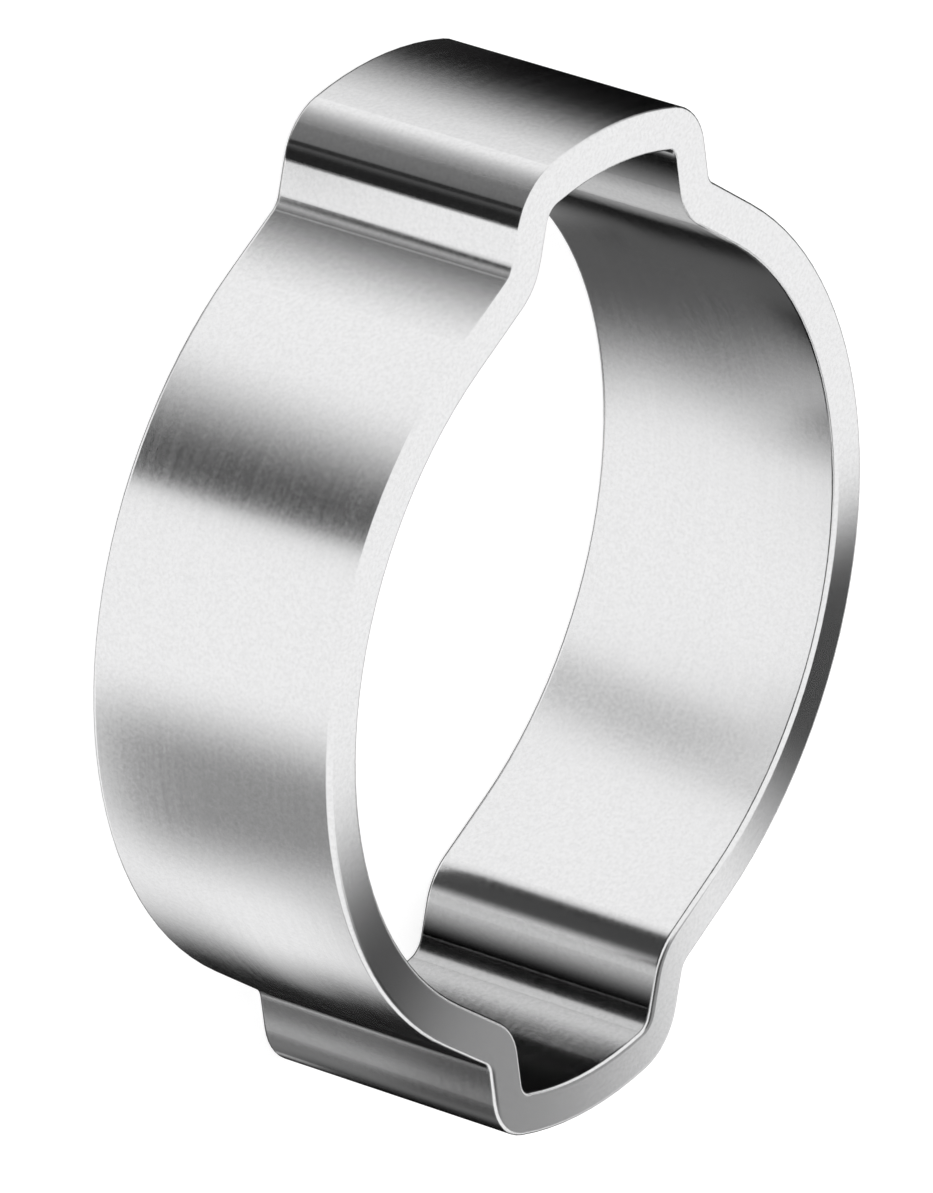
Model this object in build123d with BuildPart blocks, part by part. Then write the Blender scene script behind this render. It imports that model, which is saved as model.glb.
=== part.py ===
"""Two-ear hose clamp: one closed steel ring, bent out into two hollow ears that stand opposite each other.

Frame: the ring's axis is +Z and the ears stand along +Y and -Y. The lower edge of the band lies on Z = 0.
All sizes are millimetres.
"""
import math
import os

from build123d import *

os.makedirs("parts", exist_ok=True)

# ---- driving dimensions -------------------------------------------------------------------------------
bore_diameter = 23.0        # open inside diameter, the largest hose the ring slips over
strip_thickness = 1.3       # sheet thickness, the same all the way round
band_width = 8.4            # width of the band along the ring's axis
ear_rise = 2.5              # crown of an ear above the ring's outer face
crown_radius = 12.5         # outer radius of the ear's arched crown
ear_half_width = 4.55       # half the ear's outer width, where its walls pass the ring's outer radius
wall_lean = 12.5            # degrees each ear wall leans in towards the crown
shoulder_radius = 1.9       # outer bend between an ear wall and the crown
root_radius = 0.6           # outer bend between an ear wall and the ring
skirt_angle = 32.5          # degrees from the ear's middle at which the ring straightens towards the ear
edge_rounding = 0.15        # rounding along the strip's four long edges

# ---- sizes that follow from them ----------------------------------------------------------------------
ring_radius = bore_diameter / 2 + strip_thickness
crown_top = ring_radius + ear_rise
crown_centre = crown_top - crown_radius
lean = math.radians(wall_lean)
skirt = math.radians(skirt_angle)
wall_slope = math.tan(lean)

# The wall line passes x = ear_half_width at y = ring_radius and moves in by wall_slope per millimetre up.
# It meets the crown's circle where x^2 + (y - crown_centre)^2 = crown_radius^2.
reach = ear_half_width + wall_slope * (ring_radius - crown_centre)
quad_a = 1 + wall_slope**2
quad_b = -2 * reach * wall_slope
quad_c = reach**2 - crown_radius**2
shoulder_rise = (-quad_b + math.sqrt(quad_b**2 - 4 * quad_a * quad_c)) / (2 * quad_a)
shoulder_x = reach - wall_slope * shoulder_rise
shoulder_y = crown_centre + shoulder_rise

# The skirt is the ring's tangent at skirt_angle: x sin(skirt) + y cos(skirt) = ring_radius.
root_y = (ring_radius - (ear_half_width + wall_slope * ring_radius) * math.sin(skirt)) / (
    math.cos(skirt) - wall_slope * math.sin(skirt)
)
root_x = ear_half_width + wall_slope * (ring_radius - root_y)
tangent_x = ring_radius * math.sin(skirt)
tangent_y = ring_radius * math.cos(skirt)

# ---- picking corners and edges ------------------------------------------------------------------------
same_place = 0.001          # how close two coordinates have to be to count as the same


def corners_at(sketch, x, y):
    """Picks a sketch's vertex at (x, y) and its mirror images across both axes."""
    return sketch.vertices().filter_by(
        lambda corner: abs(abs(corner.X) - x) < same_place and abs(abs(corner.Y) - y) < same_place
    )


def edges_at(solid, height):
    """Picks a solid's edges that lie at one height."""
    return solid.edges().filter_by(lambda edge: abs(edge.center().Z - height) < same_place)


# ---- the ring -----------------------------------------------------------------------------------------
with BuildPart() as clamp_ring:
    with BuildSketch(Plane.XY) as section:
        with BuildLine() as face_line:
            for up in (1, -1):
                left, right = ((side * shoulder_x, up * shoulder_y) for side in (-1, 1))
                ThreePointArc(left, (0, up * crown_top), right)
                for side in (1, -1):
                    root = (side * root_x, up * root_y)
                    Line((side * shoulder_x, up * shoulder_y), root)
                    Line(root, (side * tangent_x, up * tangent_y))
            for side in (1, -1):
                upper, lower = ((side * tangent_x, up * tangent_y) for up in (1, -1))
                ThreePointArc(upper, (side * ring_radius, 0), lower)
        make_face()
        fillet(corners_at(section, shoulder_x, shoulder_y), radius=shoulder_radius)
        fillet(corners_at(section, root_x, root_y), radius=root_radius)
        offset(amount=-strip_thickness, kind=Kind.INTERSECTION, mode=Mode.SUBTRACT)
    extrude(amount=band_width)
    fillet(edges_at(clamp_ring, 0) + edges_at(clamp_ring, band_width), radius=edge_rounding)

clamp_ring.part.label = "clamp_ring"
export_step(clamp_ring.part, "parts/clamp_ring.step")
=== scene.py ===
"""Looks for a two-ear hose clamp: a closed strip-steel ring with a hollow ear on either side.

The ring lies on a pale table, axis up. Units are metres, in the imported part's frame.
"""

import logging
import math
from dataclasses import dataclass, field
from enum import Enum

import bpy
from mathutils import Matrix, Vector


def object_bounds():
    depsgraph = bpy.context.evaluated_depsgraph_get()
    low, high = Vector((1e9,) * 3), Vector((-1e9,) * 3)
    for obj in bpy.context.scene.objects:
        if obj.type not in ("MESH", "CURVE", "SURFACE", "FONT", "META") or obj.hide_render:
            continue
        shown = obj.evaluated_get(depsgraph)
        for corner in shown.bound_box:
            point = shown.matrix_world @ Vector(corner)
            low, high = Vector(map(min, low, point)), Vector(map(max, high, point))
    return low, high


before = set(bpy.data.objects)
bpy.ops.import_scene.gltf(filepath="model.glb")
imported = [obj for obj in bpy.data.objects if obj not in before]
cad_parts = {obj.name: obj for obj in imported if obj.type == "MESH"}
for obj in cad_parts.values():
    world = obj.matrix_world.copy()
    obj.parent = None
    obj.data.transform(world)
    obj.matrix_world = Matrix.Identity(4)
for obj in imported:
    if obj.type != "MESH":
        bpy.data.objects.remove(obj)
BOX_AT_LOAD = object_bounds()

log = logging.getLogger("hose_clamp")

MM = 0.001
RING_HEIGHT = BOX_AT_LOAD[1].z - BOX_AT_LOAD[0].z
DEGREES_PER_RADIAN = 180.0 / math.pi
LINE_STRETCH = 0.03  # scale of the rolling lines along the strip, where it is 1 across it
BOARD_SIDES = 96


class Ray(Enum):
    """The kinds of ray that the table and the surroundings tell apart."""

    CAMERA = "Is Camera Ray"
    GLOSS = "Is Glossy Ray"
    GLASS = "Is Transmission Ray"


def heading(azimuth: float, elevation: float = 0.0) -> Vector:
    """Gives the direction at two angles.

    Args:
        azimuth: Degrees from +X.
        elevation: Degrees above level.

    Returns:
        The direction, of length 1.
    """
    turn, up = math.radians(azimuth), math.radians(elevation)
    return Vector((math.cos(up) * math.cos(turn), math.cos(up) * math.sin(turn), math.sin(up)))


# ---------------------------------------------------------------------------------- shader helpers
@dataclass(frozen=True)
class Span:
    """A stretch of one measure, with a soft edge inside either end.

    Attributes:
        start: Where it begins.
        start_edge: How far it takes to open from there.
        end: Where it is over.
        end_edge: How far before that it begins to close.
    """

    start: float
    start_edge: float
    end: float
    end_edge: float


def add_node(tree: bpy.types.NodeTree, kind: str, x: float, y: float, **settings: object) -> bpy.types.Node:
    """Adds one node and sets its properties.

    Args:
        tree: The tree that takes the node.
        kind: The node's type name, such as ShaderNodeMath.
        x: Place across in the node editor.
        y: Place up in the node editor.
        **settings: Properties of the node, by name.

    Returns:
        The new node.
    """
    node = tree.nodes.new(kind)
    node.location = (x, y)
    for name, value in settings.items():
        setattr(node, name, value)
    return node


def math_node(tree: bpy.types.NodeTree, operation: str, x: float, y: float,
              *values: object) -> bpy.types.NodeSocket:
    """Adds a Math node; each value is a number or an output socket to link.

    Args:
        tree: The tree that takes the node.
        operation: The Math node's operation.
        x: Place across.
        y: Place up.
        *values: Numbers or sockets for the inputs, in order.

    Returns:
        The node's result.
    """
    node = add_node(tree, "ShaderNodeMath", x, y, operation=operation)
    for index, value in enumerate(values):
        if isinstance(value, bpy.types.NodeSocket):
            tree.links.new(value, node.inputs[index])
        else:
            node.inputs[index].default_value = value
    return node.outputs[0]


def new_material(name: str) -> bpy.types.Material:
    """Makes a material with an empty tree.

    Args:
        name: The material's name.

    Returns:
        The material.
    """
    material = bpy.data.materials.new(name)
    material.use_nodes = True
    material.node_tree.nodes.clear()
    return material


def window_group() -> bpy.types.ShaderNodeTree:
    """Builds the "window" group: 1 between two limits of a value, with an edge softness at each.

    Returns:
        The node group, made once.
    """
    name = "window"
    if name in bpy.data.node_groups:
        return bpy.data.node_groups[name]
    tree = bpy.data.node_groups.new(name, "ShaderNodeTree")
    for socket in ("Value", "From", "From Edge", "To", "To Edge"):
        tree.interface.new_socket(socket, in_out="INPUT", socket_type="NodeSocketFloat")
    tree.interface.new_socket("Mask", in_out="OUTPUT", socket_type="NodeSocketFloat")
    inside = add_node(tree, "NodeGroupInput", -700, 0)
    outside = add_node(tree, "NodeGroupOutput", 500, 0)
    opened = math_node(tree, "ADD", -450, 160, inside.outputs["From"], inside.outputs["From Edge"])
    closing = math_node(tree, "SUBTRACT", -450, -160, inside.outputs["To"], inside.outputs["To Edge"])
    edges = []
    for shut, full, y in ((inside.outputs["From"], opened, 160), (inside.outputs["To"], closing, -160)):
        edge = add_node(tree, "ShaderNodeMapRange", -200, y, interpolation_type="SMOOTHSTEP")
        tree.links.new(inside.outputs["Value"], edge.inputs["Value"])
        tree.links.new(shut, edge.inputs["From Min"])
        tree.links.new(full, edge.inputs["From Max"])
        edges.append(edge.outputs[0])
    tree.links.new(math_node(tree, "MULTIPLY", 250, 0, *edges), outside.inputs["Mask"])
    return tree


def place_window(tree: bpy.types.NodeTree, value: bpy.types.NodeSocket, span: Span, x: float,
                 y: float) -> bpy.types.NodeSocket:
    """Places the window group on a value.

    Args:
        tree: The tree that takes the group.
        value: The socket that the window reads.
        span: Where the window is open.
        x: Place across.
        y: Place up.

    Returns:
        The mask's socket.
    """
    node = add_node(tree, "ShaderNodeGroup", x, y, node_tree=window_group())
    tree.links.new(value, node.inputs["Value"])
    node.inputs["From"].default_value = span.start
    node.inputs["From Edge"].default_value = span.start_edge
    node.inputs["To"].default_value = span.end
    node.inputs["To Edge"].default_value = span.end_edge
    return node.outputs["Mask"]


def grain_group() -> bpy.types.ShaderNodeTree:
    """Builds the "strip_grain" group: cloudy mottling and fine rolling lines along the strip.

    Returns:
        The node group, made once. Its outputs are two masks about 0.5.
    """
    name = "strip_grain"
    if name in bpy.data.node_groups:
        return bpy.data.node_groups[name]
    tree = bpy.data.node_groups.new(name, "ShaderNodeTree")
    tree.interface.new_socket("Vector", in_out="INPUT", socket_type="NodeSocketVector")
    for socket in ("Mottle Scale", "Line Scale"):
        tree.interface.new_socket(socket, in_out="INPUT", socket_type="NodeSocketFloat")
    for socket in ("Mottle", "Lines"):
        tree.interface.new_socket(socket, in_out="OUTPUT", socket_type="NodeSocketFloat")
    inside = add_node(tree, "NodeGroupInput", -900, 0)
    outside = add_node(tree, "NodeGroupOutput", 500, 0)
    stretched = add_node(tree, "ShaderNodeMapping", -600, -50)
    stretched.inputs["Scale"].default_value = (LINE_STRETCH, LINE_STRETCH, 1.0)
    tree.links.new(inside.outputs["Vector"], stretched.inputs["Vector"])
    noises = (
        ("Mottle", inside.outputs["Vector"], inside.outputs["Mottle Scale"], 250, 3.0, 0.6),
        ("Lines", stretched.outputs[0], inside.outputs["Line Scale"], -50, 4.0, 0.7),
    )
    for output, vector, scale, y, detail, roughness in noises:
        noise = add_node(tree, "ShaderNodeTexNoise", -300, y)
        noise.inputs["Detail"].default_value = detail
        noise.inputs["Roughness"].default_value = roughness
        tree.links.new(vector, noise.inputs["Vector"])
        tree.links.new(scale, noise.inputs["Scale"])
        tree.links.new(noise.outputs[0], outside.inputs[output])
    return tree


def any_ray(tree: bpy.types.NodeTree, x: float, y: float, *kinds: Ray) -> bpy.types.NodeSocket:
    """Gives 1 on rays of some kinds and 0 on all others.

    Args:
        tree: The tree that takes the nodes.
        x: Place across.
        y: Place up.
        *kinds: The kinds of ray.

    Returns:
        The socket.
    """
    path = add_node(tree, "ShaderNodeLightPath", x, y)
    found = path.outputs[kinds[0].value]
    for step, kind in enumerate(kinds[1:], start=1):
        found = math_node(tree, "MAXIMUM", x + 200 * step, y, found, path.outputs[kind.value])
    return found


def first_reflection(tree: bpy.types.NodeTree, x: float, y: float) -> bpy.types.NodeSocket:
    """Gives 1 on rays that have left the metal only once, and 0 where one part of it shows another.

    Args:
        tree: The tree that takes the nodes.
        x: Place across.
        y: Place up.

    Returns:
        The socket.
    """
    path = add_node(tree, "ShaderNodeLightPath", x, y)
    between_first_and_second = 1.5
    return math_node(tree, "LESS_THAN", x + 200, y, path.outputs["Glossy Depth"], between_first_and_second)


# ---------------------------------------------------------------------------------------- finishes
@dataclass(frozen=True)
class Grain:
    """How the rolled strip's face varies.

    Attributes:
        mottle_scale: Fineness of the cloudy mottling.
        line_scale: Fineness of the rolling lines.
        dark_below: Mottling at which the face has its darker tone.
        pale_above: Mottling at which it has its paler tone.
        mottle_roughness: How much the mottling adds to the roughness.
        line_roughness: How much the lines change the roughness.
        mottle_bump: Strength of the mottling's relief.
        mottle_relief: Height of the mottling's relief.
        line_bump: Strength of the lines' relief.
        line_relief: Height of the lines' relief.
    """

    mottle_scale: float = 8000.0
    line_scale: float = 5200.0
    dark_below: float = 0.3
    pale_above: float = 0.62
    mottle_roughness: float = 0.08
    line_roughness: float = 0.1
    mottle_bump: float = 0.004
    mottle_relief: float = 0.03 * MM
    line_bump: float = 0.03
    line_relief: float = 0.02 * MM


@dataclass(frozen=True)
class PlatedSteel:
    """Satin plated strip steel.

    Attributes:
        name: The material's name.
        tone: The plating's paler colour, grey with a trace of blue.
        shade: Its darker colour, in the mottling.
        roughness: Middle roughness of the rolled faces, before the mottling.
        rim_roughness: Roughness of the trimmed and rounded rims.
        rim_height: How far the rims' finish reaches from either end of the ring.
        grain: How the rolled faces vary.
    """

    name: str = "plated_steel"
    tone: tuple[float, float, float] = (0.87, 0.87, 0.875)
    shade: tuple[float, float, float] = (0.79, 0.79, 0.795)
    roughness: float = 0.155
    rim_roughness: float = 0.22
    rim_height: float = 0.15 * MM
    grain: Grain = Grain()

    def build(self) -> bpy.types.Material:
        """Makes the material.

        Returns:
            The material, ready to assign.
        """
        material = new_material(self.name)
        tree = material.node_tree
        output = add_node(tree, "ShaderNodeOutputMaterial", 900, 0)
        metal = add_node(tree, "ShaderNodeBsdfPrincipled", 600, 0)
        metal.inputs["Metallic"].default_value = 1.0
        tree.links.new(metal.outputs[0], output.inputs["Surface"])
        place = add_node(tree, "ShaderNodeTexCoord", -1300, 0)
        grain = add_node(tree, "ShaderNodeGroup", -1000, 0, node_tree=grain_group())
        tree.links.new(place.outputs["Object"], grain.inputs["Vector"])
        grain.inputs["Mottle Scale"].default_value = self.grain.mottle_scale
        grain.inputs["Line Scale"].default_value = self.grain.line_scale
        mottle, lines = grain.outputs["Mottle"], grain.outputs["Lines"]
        tree.links.new(self.colour(tree, mottle), metal.inputs["Base Color"])
        tree.links.new(self.gloss(tree, place, mottle, lines), metal.inputs["Roughness"])
        tree.links.new(self.relief(tree, mottle, lines), metal.inputs["Normal"])
        return material

    def colour(self, tree: bpy.types.NodeTree, mottle: bpy.types.NodeSocket) -> bpy.types.NodeSocket:
        """Mixes the two tones by the mottling.

        Args:
            tree: The material's tree.
            mottle: The mottling's mask.

        Returns:
            The colour's socket.
        """
        clouds = add_node(tree, "ShaderNodeMapRange", -700, 300)
        clouds.inputs["From Min"].default_value = self.grain.dark_below
        clouds.inputs["From Max"].default_value = self.grain.pale_above
        tree.links.new(mottle, clouds.inputs["Value"])
        mixed = add_node(tree, "ShaderNodeMix", -400, 300, data_type="RGBA")
        mixed.inputs["A"].default_value = (*self.shade, 1.0)
        mixed.inputs["B"].default_value = (*self.tone, 1.0)
        tree.links.new(clouds.outputs[0], mixed.inputs["Factor"])
        return mixed.outputs["Result"]

    def gloss(self, tree: bpy.types.NodeTree, place: bpy.types.Node, mottle: bpy.types.NodeSocket,
              lines: bpy.types.NodeSocket) -> bpy.types.NodeSocket:
        """Sets the roughness: varied on the rolled faces, plain on the rims.

        Args:
            tree: The material's tree.
            place: The Texture Coordinate node.
            mottle: The mottling's mask.
            lines: The rolling lines' mask.

        Returns:
            The roughness's socket.
        """
        split = add_node(tree, "ShaderNodeSeparateXYZ", -1000, -300)
        tree.links.new(place.outputs["Object"], split.inputs[0])
        face = Span(0.0, self.rim_height, RING_HEIGHT, self.rim_height)
        on_face = place_window(tree, split.outputs["Z"], face, -750, -300)
        swing = self.grain.line_roughness
        lined = math_node(tree, "MULTIPLY_ADD", -450, 0, lines, swing, self.roughness - swing / 2.0)
        cloudy = math_node(tree, "MULTIPLY_ADD", -250, 0, mottle, self.grain.mottle_roughness, lined)
        rough = add_node(tree, "ShaderNodeMix", 0, -50, data_type="FLOAT")
        rough.inputs["A"].default_value = self.rim_roughness
        tree.links.new(on_face, rough.inputs["Factor"])
        tree.links.new(cloudy, rough.inputs["B"])
        return rough.outputs["Result"]

    def relief(self, tree: bpy.types.NodeTree, mottle: bpy.types.NodeSocket,
               lines: bpy.types.NodeSocket) -> bpy.types.NodeSocket:
        """Adds the relief of the lines, then that of the mottling.

        Args:
            tree: The material's tree.
            mottle: The mottling's mask.
            lines: The rolling lines' mask.

        Returns:
            The normal's socket.
        """
        grain = self.grain
        normal = None
        reliefs = (
            (lines, grain.line_bump, grain.line_relief),
            (mottle, grain.mottle_bump, grain.mottle_relief),
        )
        for step, (mask, strength, height) in enumerate(reliefs):
            bump = add_node(tree, "ShaderNodeBump", 250 * step, -350)
            bump.inputs["Strength"].default_value = strength
            bump.inputs["Distance"].default_value = height
            tree.links.new(mask, bump.inputs["Height"])
            if normal is not None:
                tree.links.new(normal, bump.inputs["Normal"])
            normal = bump.outputs[0]
        return normal


@dataclass(frozen=True)
class PaleTable:
    """The table's plain white top, which keeps a soft shadow.

    Attributes:
        name: The material's name.
        glow: How much of its white is there for the camera, gloss and glass.
        reflect: Grey that takes the lamps' light and the shadow.
    """

    name: str = "pale_table"
    glow: float = 0.74
    reflect: float = 0.42

    def build(self) -> bpy.types.Material:
        """Makes the material.

        Returns:
            The material, ready to assign.
        """
        material = new_material(self.name)
        tree = material.node_tree
        output = add_node(tree, "ShaderNodeOutputMaterial", 600, 0)
        both = add_node(tree, "ShaderNodeAddShader", 400, 0)
        matt = add_node(tree, "ShaderNodeBsdfDiffuse", 100, 150)
        matt.inputs["Color"].default_value = (self.reflect, self.reflect, self.reflect, 1.0)
        white = add_node(tree, "ShaderNodeEmission", 100, -100)
        seen = any_ray(tree, -700, -150, Ray.CAMERA, Ray.GLOSS, Ray.GLASS)
        tree.links.new(math_node(tree, "MULTIPLY", -80, -150, seen, self.glow), white.inputs["Strength"])
        tree.links.new(matt.outputs[0], both.inputs[0])
        tree.links.new(white.outputs[0], both.inputs[1])
        tree.links.new(both.outputs[0], output.inputs["Surface"])
        return material


# --------------------------------------------------------------------------------------- the clamp
@dataclass
class ClampRing:
    """The ring with its two ears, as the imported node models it.

    Attributes:
        node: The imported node's name.
        finish: What it is plated with.
    """

    node: str = "clamp_ring"
    finish: PlatedSteel = field(default_factory=PlatedSteel)

    def dress(self) -> bpy.types.Object:
        """Gives the ring its plated finish.

        Returns:
            The dressed object.
        """
        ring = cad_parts[self.node]
        ring.data.materials.clear()
        ring.data.materials.append(self.finish.build())
        return ring


# -------------------------------------------------------------------------------- camera and lamps
@dataclass(frozen=True)
class Viewpoint:
    """Where the camera stands and how it is turned.

    Attributes:
        azimuth: Degrees from +X to the camera's side of the ring.
        elevation: Degrees above the table.
        roll: Degrees the camera is turned about its own line of sight.
        distance: From the middle of the ring to the lens.
        lens: Focal length in millimetres.
        sensor: Width of the frame in millimetres.
        right: How far the camera is slid along its own right.
        down: How far the camera is slid along its own down.
        nearest: Distance where the camera begins to see.
        farthest: Distance where it stops.
    """

    azimuth: float = 152.24
    elevation: float = 32.73
    roll: float = 107.46
    distance: float = 472.6 * MM
    lens: float = 499.3
    sensor: float = 36.0
    right: float = -0.4535 * MM
    down: float = 0.2327 * MM
    nearest: float = 10 * MM
    farthest: float = 20000 * MM

    def build(self, target: Vector) -> bpy.types.Object:
        """Makes the camera and hands it to the scene.

        Args:
            target: The point that the camera looks at before it is slid.

        Returns:
            The camera's object.
        """
        back = heading(self.azimuth, self.elevation)
        level = (-back).cross(Vector((0.0, 0.0, 1.0))).normalized()
        rise = level.cross(-back)
        roll = math.radians(self.roll)
        right = level * math.cos(roll) + rise * math.sin(roll)
        up = back.cross(right)
        data = bpy.data.cameras.new("camera")
        data.lens = self.lens
        data.sensor_width = self.sensor
        data.clip_start = self.nearest
        data.clip_end = self.farthest
        data.dof.use_dof = False
        camera = bpy.data.objects.new("camera", data)
        bpy.context.scene.collection.objects.link(camera)
        turn = Matrix((right, up, back)).transposed().to_4x4()
        place = target + back * self.distance + right * self.right - up * self.down
        camera.matrix_world = Matrix.Translation(place) @ turn
        bpy.context.scene.camera = camera
        return camera


@dataclass(frozen=True)
class SoftLamp:
    """One soft box.

    Attributes:
        name: The lamp's name.
        azimuth: Degrees from +X.
        elevation: Degrees above the table.
        distance: From the ring.
        size: Width of the square box.
        energy: Power in watts.
    """

    name: str
    azimuth: float
    elevation: float
    distance: float
    size: float
    energy: float

    def build(self, target: Vector) -> bpy.types.Object:
        """Makes the lamp, turned to the ring.

        Args:
            target: The point that it faces.

        Returns:
            The lamp's object.
        """
        away = heading(self.azimuth, self.elevation)
        data = bpy.data.lights.new(self.name, "AREA")
        data.shape = "SQUARE"
        data.size = self.size
        data.energy = self.energy
        lamp = bpy.data.objects.new(self.name, data)
        bpy.context.scene.collection.objects.link(lamp)
        lamp.location = target + away * self.distance
        lamp.rotation_mode = "QUATERNION"
        lamp.rotation_quaternion = away.to_track_quat("Z", "Y")
        lamp.visible_glossy = False
        log.info("lamp %s at %.0f degrees", self.name, self.azimuth)
        return lamp


# -------------------------------------------------------------------------------- boards and cards
def hide_from_all_but_gloss(thing: bpy.types.Object) -> None:
    """Leaves an object to show only in reflections.

    Args:
        thing: The object.
    """
    for ray in ("camera", "diffuse", "transmission", "volume_scatter", "shadow"):
        setattr(thing, f"visible_{ray}", False)


def lay_cloth(tree: bpy.types.NodeTree, share: bpy.types.NodeSocket, glow: float) -> None:
    """Ends a material as clear, with cloth of one brightness laid over it.

    Args:
        tree: The material's tree.
        share: How much of the cloth shows, from 0 to 1.
        glow: The cloth's brightness, which only a first reflection shows.
    """
    output = add_node(tree, "ShaderNodeOutputMaterial", 900, 0)
    mix = add_node(tree, "ShaderNodeMixShader", 700, 0)
    clear = add_node(tree, "ShaderNodeBsdfTransparent", 450, -50)
    cloth = add_node(tree, "ShaderNodeEmission", 450, -150)
    cloth.inputs["Strength"].default_value = 0.0
    if glow > 0.0:
        first = first_reflection(tree, 0, -300)
        tree.links.new(math_node(tree, "MULTIPLY", 350, -300, first, glow), cloth.inputs["Strength"])
    tree.links.new(share, mix.inputs[0])
    tree.links.new(clear.outputs[0], mix.inputs[1])
    tree.links.new(cloth.outputs[0], mix.inputs[2])
    tree.links.new(mix.outputs[0], output.inputs["Surface"])


@dataclass(frozen=True)
class Flag:
    """A black cloth on a flag board.

    Attributes:
        turn: The stretch of the board's angles that it covers, in degrees.
        near: Distance from the board's centre where it begins.
        far: Distance where it is over.
        edge: Softness of both of those.
        depth: How dark it is, from 0 to 1.
    """

    turn: Span
    near: float
    far: float
    edge: float
    depth: float

    def reach(self) -> Span:
        """Gives the stretch of distances that it covers.

        Returns:
            The stretch.
        """
        return Span(self.near, self.edge, self.far, self.edge)


@dataclass(frozen=True)
class FlagBoard:
    """A clear, level, round board that carries black cloths and shows only in reflections.

    Attributes:
        name: The board's name.
        centre: Middle of the board.
        radius: Radius of the board.
        azimuth: Degrees from +X to the board's zero angle.
        middle: Middle of the board's range of angles, which reaches half a turn to either side.
        flags: The cloths.
    """

    name: str
    centre: tuple[float, float, float]
    radius: float
    azimuth: float
    middle: float
    flags: tuple[Flag, ...]

    def build(self) -> bpy.types.Object:
        """Makes the board, as stage, turned so that its own +X lies on the middle angle.

        Returns:
            The board's object.
        """
        turn = math.radians(self.azimuth + self.middle)
        bpy.ops.object.select_all(action="DESELECT")
        bpy.ops.mesh.primitive_circle_add(vertices=BOARD_SIDES, radius=self.radius, fill_type="NGON",
                                          location=self.centre, rotation=(0.0, 0.0, turn))
        board = bpy.context.object
        board.name = self.name
        board.data.materials.append(self.cloth())
        hide_from_all_but_gloss(board)
        return board

    def cloth(self) -> bpy.types.Material:
        """Makes the board's material: clear, with each black cloth laid over it.

        Returns:
            The material.
        """
        material = new_material(f"{self.name}_cloth")
        tree = material.node_tree
        place = add_node(tree, "ShaderNodeTexCoord", -1100, 0)
        split = add_node(tree, "ShaderNodeSeparateXYZ", -900, 0)
        tree.links.new(place.outputs["Object"], split.inputs[0])
        x, y = split.outputs["X"], split.outputs["Y"]
        angle = math_node(tree, "ARCTAN2", -700, 100, y, x)
        degrees = math_node(tree, "MULTIPLY_ADD", -550, 100, angle, DEGREES_PER_RADIAN, self.middle)
        x_squared = math_node(tree, "MULTIPLY", -700, -100, x, x)
        squared = math_node(tree, "MULTIPLY_ADD", -550, -100, y, y, x_squared)
        radius = math_node(tree, "SQRT", -400, -100, squared)
        clear = 1.0
        for index, flag in enumerate(self.flags):
            low = -220.0 * index
            turn = place_window(tree, degrees, flag.turn, -200, low)
            reach = place_window(tree, radius, flag.reach(), -200, low - 110)
            both = math_node(tree, "MULTIPLY", 0, low, turn, reach)
            left = math_node(tree, "MULTIPLY_ADD", 150, low, both, -flag.depth, 1.0)
            clear = math_node(tree, "MULTIPLY", 300, low, clear, left)
        lay_cloth(tree, math_node(tree, "SUBTRACT", 480, 100, 1.0, clear), 0.0)
        return material


@dataclass(frozen=True)
class Card:
    """A small upright card close to the ring, which shows only in the metal and only from its front.

    Its front is on its right, seen along the way it runs. Its top stays below the ring's upper rim.

    Attributes:
        name: The card's name.
        x: Where it begins, along X.
        y: Where it begins, along Y.
        foot: Height of its lower side.
        azimuth: Degrees from +X to the way it runs.
        length: How far it runs.
        depth: How much of what is behind it it hides, from 0 to 1.
        glow: Its own brightness, 0 for a black card.
        start_edge: How far it takes to come in along its length.
        end_edge: How far it takes to fade out along its length.
        top: Height of its upper side.
        trim: Softness of its lower and upper sides.
    """

    name: str
    x: float
    y: float
    foot: float
    azimuth: float
    length: float
    depth: float
    glow: float = 0.0
    start_edge: float = 0.1 * MM
    end_edge: float = 0.1 * MM
    top: float = RING_HEIGHT - 0.2 * MM
    trim: float = 0.1 * MM

    def build(self) -> bpy.types.Object:
        """Makes the card, as stage, with its own X along its length and its own Y up.

        Returns:
            The card's object.
        """
        height = self.top - self.foot
        bpy.ops.object.select_all(action="DESELECT")
        bpy.ops.mesh.primitive_plane_add(size=1.0, location=(self.length / 2.0, height / 2.0, 0.0))
        card = bpy.context.object
        card.name = self.name
        card.scale = (self.length, height, 1.0)
        bpy.ops.object.transform_apply(location=True, rotation=False, scale=True)
        along = heading(self.azimuth)
        rise = Vector((0.0, 0.0, 1.0))
        turn = Matrix((along, rise, along.cross(rise))).transposed().to_4x4()
        card.matrix_world = Matrix.Translation((self.x, self.y, self.foot)) @ turn
        card.data.materials.append(self.cloth(height))
        hide_from_all_but_gloss(card)
        return card

    def cloth(self, height: float) -> bpy.types.Material:
        """Makes the card's material: clear at the back and towards its soft edges.

        Args:
            height: How tall the card is.

        Returns:
            The material.
        """
        material = new_material(f"{self.name}_cloth")
        tree = material.node_tree
        place = add_node(tree, "ShaderNodeTexCoord", -1000, 0)
        split = add_node(tree, "ShaderNodeSeparateXYZ", -800, 0)
        tree.links.new(place.outputs["Object"], split.inputs[0])
        along = Span(0.0, self.start_edge, self.length, self.end_edge)
        upward = Span(0.0, self.trim, height, self.trim)
        across = place_window(tree, split.outputs["X"], along, -600, 0)
        up = place_window(tree, split.outputs["Y"], upward, -600, -200)
        shape = math_node(tree, "MULTIPLY", -350, 0, across, up)
        share = math_node(tree, "MULTIPLY", -150, 0, shape, self.depth)
        side = add_node(tree, "ShaderNodeNewGeometry", -350, -250)
        front = math_node(tree, "MULTIPLY_ADD", -150, -250, side.outputs["Backfacing"], -1.0, 1.0)
        lay_cloth(tree, math_node(tree, "MULTIPLY", 50, 0, share, front), self.glow)
        return material


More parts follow.
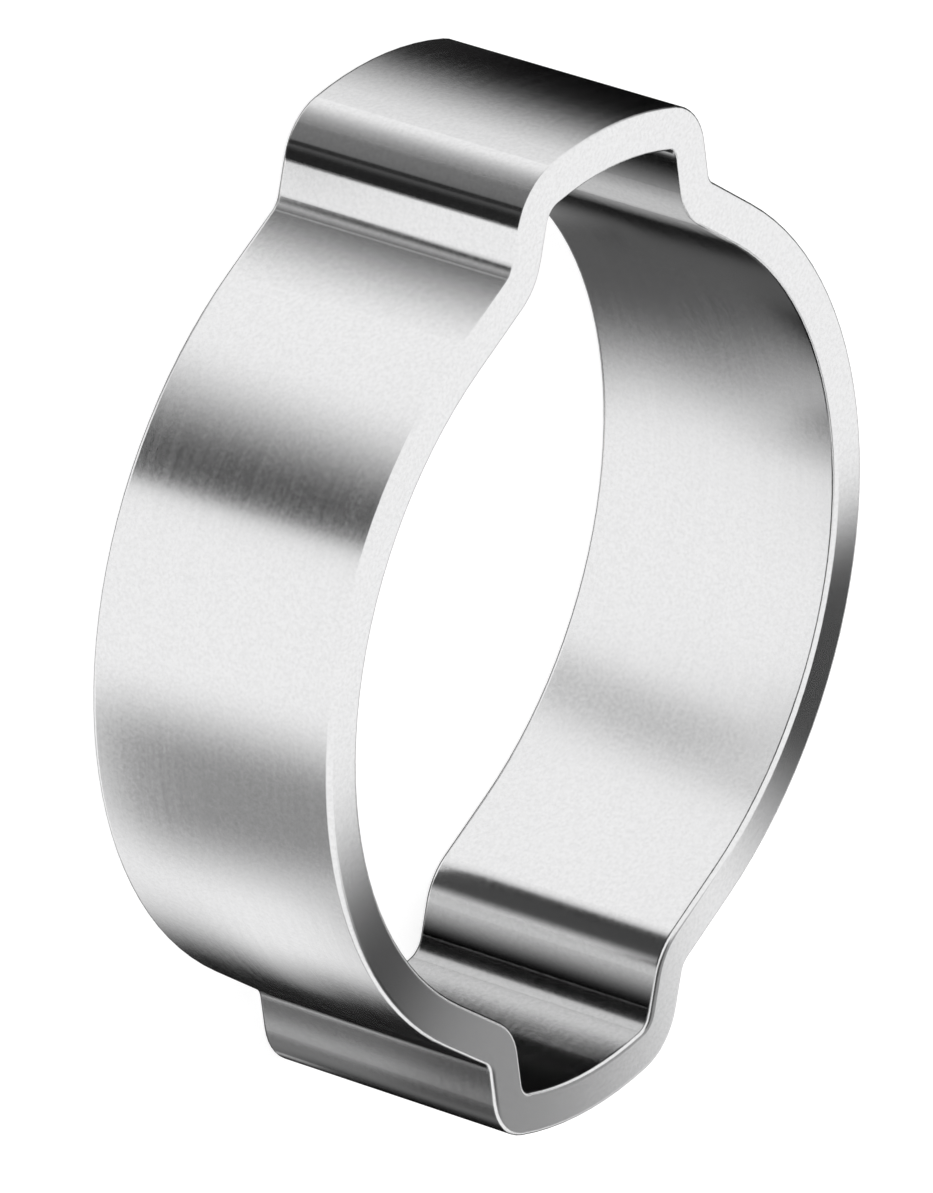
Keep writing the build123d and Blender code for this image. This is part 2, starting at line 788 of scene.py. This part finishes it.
# Cloths under the ring, at angles from the camera's side. The walls show them.
UNDER_FLAGS = (
    # the dark band above the middle of the outside
    Flag(Span(-33.0, 26.0, 1.2, 3.0), 26 * MM, 66 * MM, 2 * MM, 0.93),
    # the grey band below the middle of the outside
    Flag(Span(37.0, 20.0, 95.0, 26.0), 29 * MM, 66 * MM, 2 * MM, 0.7),
    # the grey left wall of the lower ear, outside
    Flag(Span(78.0, 12.0, 116.0, 12.0), 40 * MM, 66 * MM, 3 * MM, 0.6),
    # the inside, from its middle up to the upper ear
    Flag(Span(86.0, 52.0, 188.0, 20.0), 7 * MM, 33 * MM, 2.5 * MM, 0.9),
    Flag(Span(72.0, 40.0, 140.0, 20.0), 13 * MM, 29 * MM, 8 * MM, 0.4),
    # the black root of the lower ear, outside
    Flag(Span(104.0, 27.0, 204.0, 10.0), 33 * MM, 70 * MM, 3 * MM, 0.995),
    # the far slope of the upper ear's crown
    Flag(Span(196.0, 10.0, 273.0, 34.0), 28 * MM, 70 * MM, 3 * MM, 0.99),
    # the skirt inside, next to the upper ear
    Flag(Span(185.0, 15.0, 232.0, 16.0), 5 * MM, 29 * MM, 2 * MM, 0.97),
    # the weak grey band low on the inside
    Flag(Span(-54.0, 22.0, -8.0, 20.0), 4 * MM, 24 * MM, 3 * MM, 0.46),
)

# Cloths over the ring, at angles from +X. The upper rim shows them.
OVER_FLAGS = (
    # the right side's dark stretch
    Flag(Span(-61.0, 28.0, 3.5, 13.0), 5 * MM, 21 * MM, 2 * MM, 0.96),
    # the left side's dark stretch
    Flag(Span(-177.0, 25.0, -118.0, 26.0), 5 * MM, 21 * MM, 2 * MM, 0.92),
    # the grey round the lower ear
    Flag(Span(-165.0, 25.0, -55.0, 45.0), 5 * MM, 24 * MM, 2 * MM, 0.7),
)

JUST_UNDER_RIM = RING_HEIGHT - 0.1 * MM

CARDS = (
    # upper ear, outside: shoulder, crown, root and skirt
    Card("upper_shoulder_card", -4.74 * MM, 13.38 * MM, -8 * MM, 100.0, 12 * MM, 0.92, glow=0.11,
         end_edge=8 * MM),
    Card("upper_shoulder_line", -4.7 * MM, 13.38 * MM, -8 * MM, 100.0, 0.88 * MM, 0.86,
         start_edge=0.12 * MM, end_edge=0.42 * MM),
    Card("upper_crown_card", -4.9 * MM, 17 * MM, -4 * MM, 0.0, 3 * MM, 0.64,
         start_edge=0.3 * MM, end_edge=2.5 * MM),
    Card("upper_root_card", -4.86 * MM, 12.1 * MM, -2 * MM, 90.0, 0.42 * MM, 0.52,
         end_edge=0.22 * MM, top=JUST_UNDER_RIM),
    Card("upper_skirt_card", -7.17 * MM, 14.2 * MM, -2.2 * MM, 0.0, 2.75 * MM, 0.84, start_edge=2.6 * MM),
    # lower ear, outside: root and shoulder
    Card("lower_outer_root_card", -4.6 * MM, -14.41 * MM, -5 * MM, 144.0, 2.1 * MM, 0.8, start_edge=1 * MM),
    Card("lower_outer_shoulder_card", -3.67 * MM, -15.09 * MM, -5 * MM, 144.0, 2 * MM, 0.8,
         end_edge=0.9 * MM),
    # lower ear, inside: root, wall and crown
    Card("lower_root_card", 2.75 * MM, -12 * MM, -1.2 * MM, 90.0, 5.6 * MM, 0.93,
         start_edge=1 * MM, end_edge=2 * MM),
    Card("lower_wall_card", 2.75 * MM, -13.6 * MM, -1 * MM, 90.0, 1.61 * MM, 1.0, end_edge=1.1 * MM),
    Card("lower_wall_backing", -2.9 * MM, -14 * MM, -6 * MM, 90.0, 4.2 * MM, 1.0, glow=0.6,
         end_edge=0.8 * MM),
    Card("lower_crown_card", 2.17 * MM, -13.1 * MM, -1 * MM, 0.0, 0.99 * MM, 1.0, glow=0.64,
         start_edge=0.65 * MM, end_edge=0.02 * MM),
    Card("lower_crown_black", 1 * MM, -12.9 * MM, -1 * MM, 270.0, 1 * MM, 1.0, end_edge=0.35 * MM),
    # upper ear, inside: wall and skirt
    Card("upper_inner_wall_glow", 4.603 * MM, 10.293 * MM, 1 * MM, 141.0, 3.4 * MM, 1.0, glow=0.58,
         top=JUST_UNDER_RIM),
    Card("upper_inner_wall_card", 3.62 * MM, 11.15 * MM, 1 * MM, 141.0, 2.1 * MM, 1.0,
         start_edge=1.6 * MM, top=JUST_UNDER_RIM),
    Card("upper_inner_skirt_card", 6.2 * MM, 9.68 * MM, -2 * MM, 231.0, 1.1 * MM, 1.0, glow=0.5,
         start_edge=0.55 * MM, top=JUST_UNDER_RIM),
    # right side, inside: where the wall shows itself
    Card("right_wall_card", 10.62 * MM, 4.3 * MM, -1 * MM, 267.6, 7.8 * MM, 1.0, glow=0.1,
         start_edge=0.8 * MM, end_edge=2.5 * MM, top=6.3 * MM),
)


# -------------------------------------------------------------------------------------- the studio
@dataclass(frozen=True)
class TableTop:
    """The table that the ring lies on. The metal doesn't show it.

    Attributes:
        width: Width of the square top.
        finish: Its white.
    """

    width: float = 4000 * MM
    finish: PaleTable = PaleTable()

    def build(self) -> bpy.types.Object:
        """Makes the table's top, as stage.

        Returns:
            The top's object.
        """
        bpy.ops.object.select_all(action="DESELECT")
        bpy.ops.mesh.primitive_plane_add(size=self.width, location=(0.0, 0.0, 0.0))
        top = bpy.context.object
        top.name = "table_top"
        top.data.materials.append(self.finish.build())
        top.visible_glossy = False
        return top


@dataclass(frozen=True)
class Surroundings:
    """White surroundings, with the studio's unlit end low behind the ring.

    Attributes:
        azimuth: Degrees from +X to the middle of the side that the unlit end's angles count from.
        ambient: Level of the light from all round on the table.
        second_bounce: Level at which one part of the ring shows the studio to another part.
        unlit: The angles that the unlit end covers.
        unlit_top: How high the unlit end reaches, as a share of the way to straight up. It grows paler from
            level up to there.
        unlit_depth: How dark it is, from 0 to 1.
    """

    azimuth: float
    ambient: float = 0.55
    second_bounce: float = 0.006
    unlit: Span = Span(-55.0, 34.0, 86.0, 42.0)
    unlit_top: float = 0.12
    unlit_depth: float = 0.985

    def build(self) -> bpy.types.World:
        """Makes the world and hands it to the scene.

        Returns:
            The world.
        """
        world = bpy.data.worlds.new("studio")
        bpy.context.scene.world = world
        world.use_nodes = True
        tree = world.node_tree
        tree.nodes.clear()
        output = add_node(tree, "ShaderNodeOutputWorld", 1100, 0)
        light = add_node(tree, "ShaderNodeBackground", 900, 0)
        light.inputs["Color"].default_value = (1.0, 1.0, 1.0, 1.0)
        tree.links.new(light.outputs[0], output.inputs["Surface"])
        first = first_reflection(tree, -400, 250)
        kept = math_node(tree, "MULTIPLY_ADD", 50, 250, first, 1.0 - self.second_bounce, self.second_bounce)
        shade = math_node(tree, "MULTIPLY", 250, 150, self.pale(tree), kept)
        in_metal = math_node(tree, "MULTIPLY", 400, 100, any_ray(tree, 150, 0, Ray.GLOSS), shade)
        shown = any_ray(tree, 0, 450, Ray.CAMERA, Ray.GLASS)
        direct = any_ray(tree, 0, 700, Ray.CAMERA, Ray.GLOSS, Ray.GLASS)
        around = math_node(tree, "MULTIPLY_ADD", 550, 700, direct, -self.ambient, self.ambient)
        seen = math_node(tree, "ADD", 600, 250, in_metal, shown)
        tree.links.new(math_node(tree, "ADD", 750, 100, seen, around), light.inputs["Strength"])
        return world

    def pale(self, tree: bpy.types.NodeTree) -> bpy.types.NodeSocket:
        """Works out how pale the surroundings are in each direction.

        Args:
            tree: The world's tree.

        Returns:
            The socket, 1 everywhere but in the unlit end.
        """
        place = add_node(tree, "ShaderNodeTexCoord", -1100, 0)
        turned = add_node(tree, "ShaderNodeMapping", -900, 0)
        turned.inputs["Rotation"].default_value = (0.0, 0.0, -math.radians(self.azimuth))
        tree.links.new(place.outputs["Generated"], turned.inputs["Vector"])
        split = add_node(tree, "ShaderNodeSeparateXYZ", -700, 0)
        tree.links.new(turned.outputs[0], split.inputs[0])
        angle = math_node(tree, "ARCTAN2", -500, 100, split.outputs["Y"], split.outputs["X"])
        degrees = math_node(tree, "MULTIPLY", -350, 100, angle, DEGREES_PER_RADIAN)
        straight_down = -1.0
        up_to_top = Span(straight_down - 1.0, 0.5, self.unlit_top, self.unlit_top)
        wide = place_window(tree, degrees, self.unlit, -150, 100)
        low = place_window(tree, split.outputs["Z"], up_to_top, -150, -100)
        dark = math_node(tree, "MULTIPLY", 50, 0, wide, low)
        return math_node(tree, "MULTIPLY_ADD", 150, -150, dark, -self.unlit_depth, 1.0)


@dataclass
class Studio:
    """Camera, table, flag boards, cards, surroundings and lamps.

    Attributes:
        view: The camera.
        table: The table's top.
        lamps: The soft boxes.
        under_flags: Cloths under the ring, for its walls.
        over_flags: Cloths over the ring, for its upper rim.
        cards: Small cards close to the ears.
        under_drop: How far the lower board hangs under the table.
        under_radius: Radius of the lower board.
        over_height: Height of the upper board over the ring.
        over_radius: Radius of the upper board.
    """

    view: Viewpoint = field(default_factory=Viewpoint)
    table: TableTop = field(default_factory=TableTop)
    lamps: tuple[SoftLamp, ...] = (
        SoftLamp("overhead_box", azimuth=60.0, elevation=68.0, distance=320 * MM, size=300 * MM,
                 energy=0.5),
        SoftLamp("side_box", azimuth=215.0, elevation=45.0, distance=320 * MM, size=220 * MM,
                 energy=0.25),
    )
    under_flags: tuple[Flag, ...] = UNDER_FLAGS
    over_flags: tuple[Flag, ...] = OVER_FLAGS
    cards: tuple[Card, ...] = CARDS
    under_drop: float = 12.5 * MM
    under_radius: float = 72 * MM
    over_height: float = 6 * MM
    over_radius: float = 26 * MM

    def under_board(self) -> FlagBoard:
        """Gives the board under the table, with its zero angle on the camera's side.

        Returns:
            The board. Its angles run from -85 to 275, so that no cloth crosses their ends.
        """
        centre = (0.0, 0.0, -self.under_drop)
        return FlagBoard("under_board", centre, self.under_radius, self.view.azimuth, 95.0, self.under_flags)

    def over_board(self) -> FlagBoard:
        """Gives the board over the ring, with its zero angle on +X.

        Returns:
            The board. It stands where the camera's line to the ring, mirrored in the upper rim, meets it.
        """
        aside = self.over_height / math.tan(math.radians(self.view.elevation))
        centre = heading(self.view.azimuth + 180.0) * aside
        centre.z = RING_HEIGHT + self.over_height
        return FlagBoard("over_board", tuple(centre), self.over_radius, 0.0, -90.0, self.over_flags)

    def build(self, target: Vector) -> None:
        """Makes the whole studio.

        Args:
            target: The middle of the ring.
        """
        bpy.context.scene.view_settings.view_transform = "Standard"
        self.view.build(target)
        for part in (self.table, self.under_board(), self.over_board(), *self.cards):
            part.build()
        Surroundings(self.view.azimuth - 180.0).build()
        for lamp in self.lamps:
            lamp.build(target)


def main() -> None:
    """Builds the clamp's looks and the studio round it."""
    logging.basicConfig(level=logging.INFO, format="%(name)s: %(message)s")
    bpy.ops.object.select_all(action="DESELECT")
    ring = ClampRing().dress()
    log.info("dressed %s, %d faces", ring.name, len(ring.data.polygons))
    low, high = BOX_AT_LOAD
    Studio().build((low + high) / 2)


if __name__ == "__main__":
    main()
